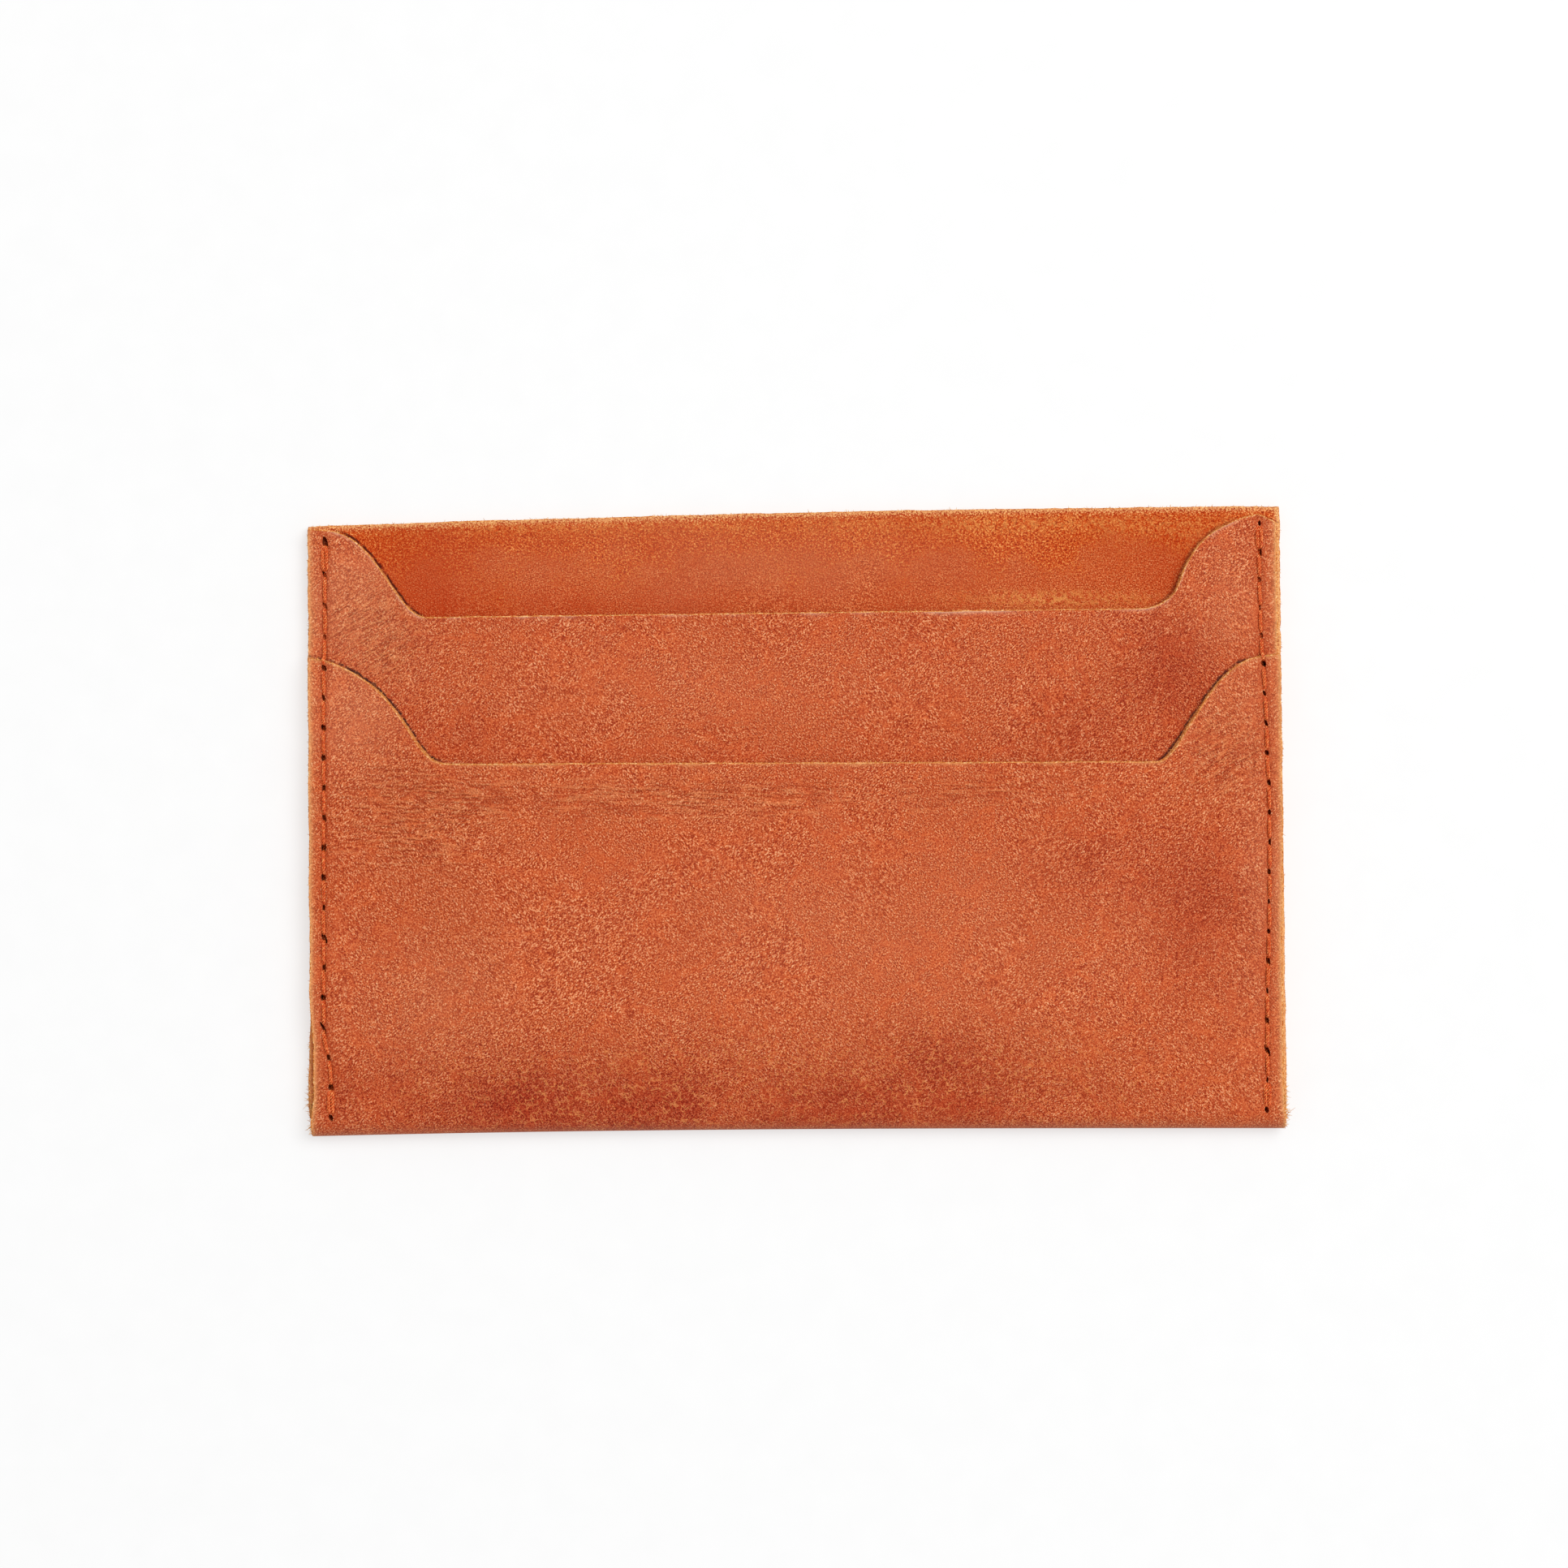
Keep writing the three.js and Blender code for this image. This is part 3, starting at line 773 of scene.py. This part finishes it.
def stitchPath(side, isNeedle):
    # One thread of the lockstitch as a line of points. Each stitch is a flat-topped arch, a superellipse,
    # from deep in one hole to deep in the next. The first and last stitches are sewn twice, side by side.
    holes = needleHoles(side)
    last = len(holes) - 1
    shoulder = shoulderHeight(side)
    offset = twist["tackOffset"]
    order = [(1, 0, offset), (0, 1, -offset)]
    order += [(i, i + 1, 0.0) for i in range(1, last - 1)]
    order += [(last - 1, last, -offset), (last, last - 1, offset)]
    start = holes[[a for a, _, _ in order]][:, None]
    end = holes[[b for _, b, _ in order]][:, None]
    aside = np.array([c for _, _, c in order])[:, None]
    way = np.sign(end - start)
    start, end = start + way * twist["reach"], end - way * twist["reach"]

    angle = np.linspace(0, math.pi, 48)[None, :]
    power = 2 / twist["square"]
    y = (start + end) / 2 - (end - start) / 2 * np.sign(np.cos(angle)) * np.abs(np.cos(angle)) ** power
    radius = twist["thread"] / 2
    lower = innerBase + layers["leather"]
    pileTop = lower + (stackTop - lower) * smooth(y, shoulder + 0.5, shoulder - 0.1)
    middle = pileTop / 2
    if isNeedle:
        crest, deep = pileTop - seam["frontDent"] + twist["proud"][0] * radius, middle + twist["deep"]
    else:
        crest, deep = seam["backDent"] + twist["proud"][1] * radius, middle - twist["deep"]
    z = deep + (crest - deep) * np.abs(np.sin(angle)) ** power
    x = seamX(side, y) + aside * np.abs(np.sin(angle)) ** 0.5
    x = x + twist["sway"] * waves(y, 0 * y, 1.6, 140 + side)
    return np.stack(np.broadcast_arrays(x, y, z), axis=-1).reshape(-1, 3)


def evenLine(points, step):
    # the same line with its points an even step apart, and its corners softened by a running mean
    length = np.concatenate([[0], np.cumsum(np.linalg.norm(np.diff(points, axis=0), axis=1))])
    keep = np.concatenate([[True], np.diff(length) > 1e-6])
    places = np.linspace(0, length[-1], int(length[-1] / step))
    line = np.stack([np.interp(places, length[keep], points[keep, k]) for k in range(3)], axis=-1)
    padded = np.pad(line, ((1, 1), (0, 0)), mode="edge")
    return (padded[:-2] + padded[1:-1] + padded[2:]) / 3


def tubes(name, points, material):
    # closed tubes from rings of points: (tubes, rings, points in a ring, 3)
    count, rings, sides = points.shape[:3]
    index = np.arange(count * rings * sides).reshape(count, rings, sides)
    after = np.roll(index, -1, axis=2)
    walls = np.stack([index[:, :-1], after[:, :-1], after[:, 1:], index[:, 1:]], axis=-1).reshape(-1, 4)
    return makeMesh(name, points, [(walls, 0), (index[:, 0, ::-1], 0), (index[:, -1], 0)], [material])


def twistedThread(name, side, isNeedle, material):
    # Three plies wound round the path as a helix: path + a circle turned by 360 degrees in each lay.
    line = evenLine(stitchPath(side, isNeedle), twist["step"])
    tangent = unit(np.gradient(line, axis=0))
    sideways = unit(np.array([1.0, 0, 0]) - tangent * tangent[:, :1])
    upward = np.cross(tangent, sideways)
    places = np.arange(len(line)) * twist["step"]
    plyRadius = twist["thread"] / 2 / (1 + twist["plySpread"])
    turn = 2 * math.pi * places[None, :] / twist["lay"] + 2 * math.pi * np.arange(3)[:, None] / 3
    wander = 1 + twist["wander"] * waves(places, 0 * places, 1.3, 200 + side + isNeedle)
    spread = plyRadius * twist["plySpread"] * wander[None, :, None]
    centre = line + spread * (np.cos(turn)[..., None] * sideways + np.sin(turn)[..., None] * upward)
    ring = 2 * math.pi * np.arange(twist["sides"]) / twist["sides"]
    section = plyRadius * (np.cos(ring)[:, None, None] * sideways + np.sin(ring)[:, None, None] * upward)
    points = centre[:, :, None, :] + np.moveaxis(section, 0, 1)[None]
    return tubes(name, points, material)


nap = {
    "perMm": 20.0,
    "length": 0.08,
    "longest": 0.2,
    "corner": 2.5,  # how much longer than that the fibres are at the two lower corners
    "cornerLongest": 1.5,
    "cornerSize": (3.0, (9.0, 1.0)),  # in from a side, and between these heights over the fold
    "root": 0.06,  # how deep inside the edge a fibre starts
    "spread": 0.42,  # how far up and down the edge, as a share of the leather
    "lean": 1.1,  # along the edge
    "rise": (0.1, 0.45),  # out of the leather's plane, mean and spread
    "bend": 0.5,  # as a share of the length
    "thickness": 0.11,
    "taper": 0.75,
    "sides": 3,
    "rings": 4,
}


def edgeFibres(name, edge, material, seed):
    # Fine hairs that stand out of a cut edge. Each starts inside the edge, leans along it and bends:
    # start + direction * t + bend * t^2, and thins to its tip.
    random = np.random.default_rng(seed)
    at, out, up, along = (edge[key] for key in ("at", "out", "up", "along"))
    stretch = np.linalg.norm(np.roll(at, -1, axis=0) - at, axis=1)
    count = int(stretch.sum() * nap["perMm"])
    pick = random.choice(len(at), count, p=stretch / stretch.sum())
    share = random.uniform(0, 1, (count, 1))
    after = (pick + 1) % len(at)
    start = at[pick] * (1 - share) + at[after] * share
    level = random.uniform(-nap["spread"], nap["spread"], (count, 1)) * layers["leather"]
    start = start + up[pick] * level - out[pick] * nap["root"]
    lean = random.normal(0, nap["lean"], (count, 1))
    rise = random.normal(*nap["rise"], (count, 1))
    direction = unit(out[pick] + along[pick] * lean + up[pick] * rise)
    wide, (startsAt, fullAt) = nap["cornerSize"]
    low = smooth(start[:, 1:2], bottom + startsAt, bottom + fullAt)
    corner = smooth(np.abs(start[:, :1]), width / 2 - wide, width / 2) * low
    length = nap["length"] * random.gamma(2.0, 1 / 2.0, (count, 1)) * (1 + nap["corner"] * corner)
    length = np.minimum(length, nap["longest"] * (1 + nap["cornerLongest"] * corner))
    bend = nap["bend"] * length * random.normal(0, 1, (count, 3)) * [1, 1, 0.3]
    t = np.linspace(0, 1, nap["rings"])[None, :, None]
    centre = start[:, None] + direction[:, None] * length[:, None] * t + bend[:, None] * t**2
    aside = unit(np.cross(direction, up[pick] + 0.01))
    upward = np.cross(direction, aside)
    ring = 2 * math.pi * np.arange(nap["sides"]) / nap["sides"]
    radius = nap["thickness"] / 2 * (1 - nap["taper"] * t)
    cosine, sine = np.cos(ring)[None, :, None], np.sin(ring)[None, :, None]
    section = cosine * aside[:, None] + sine * upward[:, None]
    points = centre[:, :, None] + radius[..., None] * section[:, None]
    points[..., 2] = np.maximum(points[..., 2], 0.01)
    return tubes(name, points, material)


def startMaterial(name):
    material = bpy.data.materials.new(name)
    material.use_nodes = True
    tree = material.node_tree
    tree.nodes.clear()
    place = addNode(tree, "ShaderNodeTexCoord").outputs["Object"]
    return material, tree, place


def endMaterial(tree, colour, roughness, height, bumpDepth, fixed):
    # bumpDepth in millimetres; fixed are the shader's constant inputs
    bump = addNode(tree, "ShaderNodeBump", {"Height": height, "Distance": bumpDepth * mm, "Strength": 1.0})
    shader = addNode(
        tree,
        "ShaderNodeBsdfPrincipled",
        {"Base Color": colour, "Roughness": roughness, "Normal": bump.outputs["Normal"], **fixed},
    )
    addNode(tree, "ShaderNodeOutputMaterial", {"Surface": shader.outputs["BSDF"]})


def noise(tree, place, size, detail=2.0, rough=0.55, warp=0.0):
    # noise whose blobs are about size millimetres
    settings = {"Vector": place, "Scale": 1 / (size * mm), "Detail": detail}
    settings.update({"Roughness": rough, "Distortion": warp})
    return addNode(tree, "ShaderNodeTexNoise", settings).outputs["Fac"]


def ramp(tree, value, stops):
    # a colour or grey ramp: stops are (place, hex colour) or (place, grey)
    node = addNode(tree, "ShaderNodeValToRGB", {"Fac": value})
    band = node.color_ramp
    band.interpolation = "EASE"
    while len(band.elements) < len(stops):
        band.elements.new(0.5)
    for element, (place, shade) in zip(band.elements, stops):
        element.position = place
        element.color = linearColour(shade) if isinstance(shade, str) else (shade, shade, shade, 1)
    return node.outputs["Color"]


def mixColours(tree, share, first, second, blend="MIX"):
    # sockets 6 and 7 are the mix node's two colours
    inputs = {"Factor": share, 6: first, 7: second}
    return addNode(tree, "ShaderNodeMix", inputs, data_type="RGBA", blend_type=blend).outputs[2]


def calculate(tree, operation, first, second=0.0, third=None):
    inputs = {0: first, 1: second}
    if third is not None:
        inputs[2] = third
    return addNode(tree, "ShaderNodeMath", inputs, operation=operation).outputs[0]


def attribute(tree, name):
    return addNode(tree, "ShaderNodeAttribute", attribute_name=name).outputs["Fac"]


def stretched(tree, place, direction, stretch):
    # coordinates in which patterns are drawn out along a direction, in radians from +X
    settings = {"Vector": place, "Rotation": (0, 0, direction), "Scale": (stretch, 1, 1)}
    return addNode(tree, "ShaderNodeMapping", settings, vector_type="TEXTURE").outputs["Vector"]


def network(tree, place, cell, lineWidth):
    # thin lines between cells of about the given size, wobbly and broken
    wobble = 0.5 * mm
    bent = addNode(tree, "ShaderNodeTexNoise", {"Vector": place, "Scale": 1 / wobble, "Detail": 2.0})
    inputs = {0: bent.outputs["Color"], 1: (wobble,) * 3, 2: place}
    moved = addNode(tree, "ShaderNodeVectorMath", inputs, operation="MULTIPLY_ADD").outputs[0]
    cells = {"Vector": moved, "Scale": 1 / (cell * mm)}
    toLine = addNode(tree, "ShaderNodeTexVoronoi", cells, feature="DISTANCE_TO_EDGE").outputs["Distance"]
    line = ramp(tree, toLine, [(0.0, 1.0), (lineWidth / cell, 0.0)])
    broken = ramp(tree, noise(tree, place, 0.7, 2.0, 0.6), [(0.47, 0.0), (0.57, 1.0)])
    return calculate(tree, "MULTIPLY", line, broken)


def blendBy(tree, body, share, tint, blend="MIX"):
    # tint is a hex colour and how strongly it covers where the share is 1
    colour, strength = tint
    return mixColours(tree, calculate(tree, "MULTIPLY", share, strength), body, linearColour(colour), blend)


def creasePattern(tree, place, direction, stretch, size, maskName):
    # long waves across the given direction, from -0.5 to 0.5, where the mask has them
    value = noise(tree, stretched(tree, place, direction, stretch), size, 1.0, 0.5, 0.3)
    return calculate(tree, "MULTIPLY", calculate(tree, "SUBTRACT", value, 0.5), attribute(tree, maskName))


def paintedGapShadow(tree, place):
    # painted shade: a thin, dark, broken line beside a mouth, about a third of a millimetre wide, standing in
    # for the shadow in the gap under the panel's edge
    wobble = noise(tree, place, 0.6, 3.0, 0.6)
    away = calculate(tree, "MULTIPLY_ADD", wobble, 0.5, attribute(tree, "fromMouth"))
    line = ramp(tree, away, [(0.20, 0.0), (0.30, 1.0), (0.44, 1.0), (0.60, 0.0)])
    broken = ramp(tree, noise(tree, place, 0.9, 3.0, 0.7), [(0.40, 0.25), (0.50, 1.0)])
    return calculate(tree, "MULTIPLY", calculate(tree, "MULTIPLY", line, broken), attribute(tree, "gap"))


def grainLeather(name, look):
    # Vegetable-tanned, waxed pull-up leather with a buffed, matt grain side. The eye sees fine, short
    # strokes of pale grain over dark red hollows, cloudy patches of tan, creases, and golden veins where
    # the wax is thick. The palest grain tops are partly painted glints and the darkest hollows partly painted
    # shade, the rest the leather's own tone; creases carry a painted highlight and painted shade.
    material, tree, place = startMaterial(name)
    which = ramp(tree, noise(tree, place, 7.0, 2.0), [(0.46, 0.0), (0.54, 1.0)])
    rising = noise(tree, stretched(tree, place, 0.75, 1.5), 0.125, 2.0, 0.6, 0.3)
    falling = noise(tree, stretched(tree, place, -0.85, 1.5), 0.125, 2.0, 0.6, 0.3)
    grain = mixColours(tree, which, rising, falling)
    # partly painted: the palest grain tops carry painted glints and the darkest hollows painted shade, where
    # the same noise raises and lowers the bump
    body = ramp(tree, grain, look["grain"])
    warm = ramp(tree, noise(tree, place, 1.6, 3.0, 0.65), [(0.40, 1.0), (0.60, 0.0)])
    body = blendBy(tree, body, warm, look["cool"])
    cloud = ramp(tree, noise(tree, place, 8.0, 4.0, 0.6), [(0.38, 0.0), (0.64, 1.0)])
    body = blendBy(tree, body, cloud, look["cloud"])
    body = blendBy(tree, body, attribute(tree, "dusty"), look["dust"])

    dark = attribute(tree, "dark")
    body = blendBy(tree, body, dark, look["shade"], "MULTIPLY")
    veins = calculate(tree, "MULTIPLY", network(tree, place, 0.62, 0.06), attribute(tree, "veined"))
    body = blendBy(tree, body, veins, look["vein"])
    pores = {"Vector": place, "Scale": 1 / (1.5 * mm)}
    pore = addNode(tree, "ShaderNodeTexVoronoi", pores, feature="F1").outputs["Distance"]
    poreSpot = calculate(tree, "MULTIPLY", ramp(tree, pore, [(0.06, 1.0), (0.12, 0.0)]), dark)
    body = blendBy(tree, body, poreSpot, look["pore"])

    lined = creasePattern(tree, place, look["linedWay"], 9.0, 0.27, "lined")
    fanned = creasePattern(tree, place, 0.50, 6.0, 0.24, "fanned")
    creased = calculate(tree, "ADD", lined, fanned)
    # painted highlight on the crease ridges and painted shade in their hollows, over the same waves that bump
    # the surface
    body = blendBy(tree, body, ramp(tree, creased, [(0.0, 0.0), (0.14, 1.0)]), look["ridgeHighlight"])
    creaseHollowShade = calculate(tree, "MULTIPLY", creased, -1.0)
    body = blendBy(tree, body, ramp(tree, creaseHollowShade, [(0.0, 0.0), (0.14, 1.0)]), look["creaseShade"])
    body = blendBy(tree, body, attribute(tree, "worn"), look["worn"])
    body = blendBy(tree, body, attribute(tree, "edge"), look["edge"])
    body = blendBy(tree, body, attribute(tree, "seamLine"), look["seam"])
    # painted shade in the gap just above a mouth
    body = blendBy(tree, body, paintedGapShadow(tree, place), look["gap"])
    # painted highlight along the fold's curve
    body = blendBy(tree, body, attribute(tree, "foldHighlight"), look["foldHighlight"])
    roughness = ramp(tree, grain, [(0.40, 0.85), (0.62, 0.6)])
    height = calculate(tree, "MULTIPLY_ADD", creased, 2.2, grain)
    endMaterial(tree, body, roughness, height, 0.16, {"Specular IOR Level": 0.16})
    return material


def fleshLeather(name, look):
    # The unlined flesh side. The eye sees short, dense nap like suede, smoother in the middle, and coarse,
    # golden and loose within a few millimetres of a cut edge.
    material, tree, place = startMaterial(name)
    nub = noise(tree, place, 0.135, 2.0, 0.62, 0.3)
    smoothBody = ramp(tree, nub, look["smooth"])
    tuft = noise(tree, place, 0.175, 2.0, 0.65, 0.5)
    coarseBody = ramp(tree, tuft, look["coarse"])
    patchy = noise(tree, place, 5.0, 3.0, 0.6)
    near = calculate(tree, "ADD", attribute(tree, "nearEdge"), calculate(tree, "SUBTRACT", patchy, 0.5))
    body = mixColours(tree, ramp(tree, near, [(0.10, 0.0), (0.40, 1.0)]), smoothBody, coarseBody)
    cloud = ramp(tree, noise(tree, place, 9.0, 3.0, 0.6), [(0.35, 0.0), (0.65, 1.0)])
    body = blendBy(tree, body, cloud, look["cloud"])
    body = blendBy(tree, body, attribute(tree, "dark"), look["deep"])
    body = blendBy(tree, body, attribute(tree, "dusty"), look["dust"])
    speckle = ramp(tree, noise(tree, place, 0.45, 3.0, 0.7), [(0.42, 0.0), (0.60, 1.0)])
    body = blendBy(tree, body, calculate(tree, "MULTIPLY", speckle, attribute(tree, "golden")), look["gold"])
    fray = calculate(tree, "MULTIPLY", attribute(tree, "nearEdge"), 0.6)
    fray = calculate(tree, "MULTIPLY_ADD", tuft, 0.45, fray)
    body = blendBy(tree, body, ramp(tree, fray, [(0.72, 0.0), (0.84, 1.0)]), look["fray"])
    body = blendBy(tree, body, attribute(tree, "edge"), look["edge"])
    # painted shade in the gap just above a mouth
    body = blendBy(tree, body, paintedGapShadow(tree, place), look["gap"])
    height = calculate(tree, "MULTIPLY_ADD", tuft, 0.6, nub)
    endMaterial(tree, body, 0.92, height, 0.12, {"Specular IOR Level": 0.1})
    return material


def cutLeather(name, look):
    # the raw cut edge: a pale, undyed, fibrous core that shows as a broken light line round each layer
    material, tree, place = startMaterial(name)
    fibre = noise(tree, place, 0.24, 3.0, 0.7, 0.8)
    body = ramp(tree, fibre, look["grain"])
    endMaterial(tree, body, 0.95, fibre, 0.12, {"Specular IOR Level": 0.1})
    return material


def sewingThread(name, look):
    # twisted, lubricated polyester: satin plies with fine filaments along them
    material, tree, place = startMaterial(name)
    filament = noise(tree, stretched(tree, place, 1.2, 2.5), 0.10, 2.0, 0.65)
    body = ramp(tree, filament, look["grain"])
    endMaterial(tree, body, 0.5, filament, 0.02, {"Specular IOR Level": 0.35})
    return material


def looseFibre(name, look):
    # loose collagen fibres of the raw edge: a pale gold fringe, drawn thicker than real so that it shows
    material, tree, place = startMaterial(name)
    tone = noise(tree, place, 1.2, 2.0)
    body = ramp(tree, tone, look["grain"])
    endMaterial(tree, body, 0.7, tone, 0.002, {"Specular IOR Level": 0.3})
    return material


def lightTable(name):
    # opal acrylic lit from below: part of its white is its own light, so the shadow on it stays faint
    material, tree, place = startMaterial(name)
    tone = noise(tree, place, 4.0, 2.0)
    body = ramp(tree, tone, [(0.0, "#9c9c9c"), (1.0, "#a0a0a0")])
    glow = {"Emission Color": (1, 1, 1, 1), "Emission Strength": studio["floorGlow"]}
    endMaterial(tree, body, 0.9, tone, 0.002, {**glow, "Specular IOR Level": 0.0})
    return material


# In each finish a ramp is a list of (place, colour), and a tint is a colour and how strongly it covers.
grainLook = {
    # the top stop is a painted glint and the bottom one painted crevice shade; the middle stops are the
    # leather's own tone
    "grain": [(0.38, "#90260a"), (0.47, "#c04c24"), (0.56, "#dc703a"), (0.67, "#fcb888")],
    "cool": ("#a84832", 0.15),
    "cloud": ("#c25428", 0.20),
    "dust": ("#ec9c70", 0.24),
    "shade": ("#c9806a", 0.85),
    "vein": ("#f4a05c", 0.55),
    "pore": ("#6a2420", 0.55),
    "linedWay": -0.03,  # which way the fine creases run, in radians
    # "ridge" is a painted highlight on the crease tops, and "crease" is painted shade in their hollows
    "ridgeHighlight": ("#ec9a62", 0.28),
    "creaseShade": ("#8e2c0c", 0.34),
    "worn": ("#e8a468", 0.5),
    "edge": ("#f2b474", 0.85),
    # painted highlight: the white table's reflection on the fold's curve
    "foldHighlight": ("#c08868", 0.8),
    "seam": ("#b84414", 0.30),
    # "gap" is painted shade: the shadow in the gap under a mouth's edge
    "gap": ("#3c1a18", 0.90),
}
innerLook = {**grainLook, "linedWay": 0.03, "worn": ("#e4b294", 0.7)}
fleshLook = {
    "smooth": [(0.38, "#942a06"), (0.47, "#c0481a"), (0.55, "#d46430"), (0.65, "#f2a068")],
    "coarse": [(0.37, "#942202"), (0.46, "#be3c0c"), (0.54, "#d65c1c"), (0.65, "#f6a65c")],
    "cloud": ("#b83c0c", 0.35),
    "deep": ("#b22c04", 0.5),
    "dust": ("#cc7c5a", 0.26),
    "gold": ("#f2ac5c", 0.6),
    "fray": ("#fbc886", 0.62),
    "edge": ("#fbc886", 0.7),
    # "gap" is painted shade: the shadow in the gap under a mouth's edge
    "gap": ("#481410", 0.90),
}
cutLook = {"grain": [(0.36, "#b4541c"), (0.50, "#e08c44"), (0.62, "#fcca8c")]}
threadLook = {"grain": [(0.36, "#a83208"), (0.50, "#da5416"), (0.64, "#f8a460")]}
fibreLook = {"grain": [(0.35, "#d08030"), (0.65, "#f4b860")]}

setStudio()
print("camera and light set")

square = np.array([[-1, -1, 0], [1, -1, 0], [1, 1, 0], [-1, 1, 0]]) * studio["floorSize"] / 2 / mm
square = square - [0, 0, studio["floorDrop"]]
floor = makeMesh("floor", square, [(np.array([[0, 1, 2, 3]]), 0)], [lightTable("white_acrylic")])

edgeFinish = cutLeather("cut_leather", cutLook)
fleshFinish = fleshLeather("flesh_leather", fleshLook)
outerPiece, outerEdge = outerSheet([grainLeather("front_leather", grainLook), fleshFinish, edgeFinish])
innerPiece, innerEdge = innerSheet([grainLeather("inner_leather", innerLook), fleshFinish, edgeFinish])
print("leather sheets made", len(outerPiece.data.polygons), len(innerPiece.data.polygons))

cutter = slitCutter()
for sheet in (outerPiece, innerPiece):
    pierce(sheet, cutter)
bpy.data.objects.remove(cutter)
print("needle slits cut", len(outerPiece.data.polygons), len(innerPiece.data.polygons))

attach(outerPiece, "root")
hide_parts("outer_panel")
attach(innerPiece, "root")
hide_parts("inner_pocket_panel")

threadFinish = sewingThread("sewing_thread", threadLook)
for side, word in ((-1, "left"), (1, "right")):
    for isNeedle, role in ((True, "needle"), (False, "bobbin")):
        strand = twistedThread(f"{word}_{role}_stitches", side, isNeedle, threadFinish)
        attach(strand, "root")
        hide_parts(f"{word}_{role}_thread")
print("seams sewn")

fibreFinish = looseFibre("loose_fibre", fibreLook)
for name, edge, slotName, seed in (
    ("outer_edge_fibres", outerEdge, "outer_leather", 301),
    ("inner_edge_fibres", innerEdge, "pocket_leather", 302),
):
    fibres = edgeFibres(name, edge, fibreFinish, seed)
    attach(fibres, "root")
print("fibres grown")
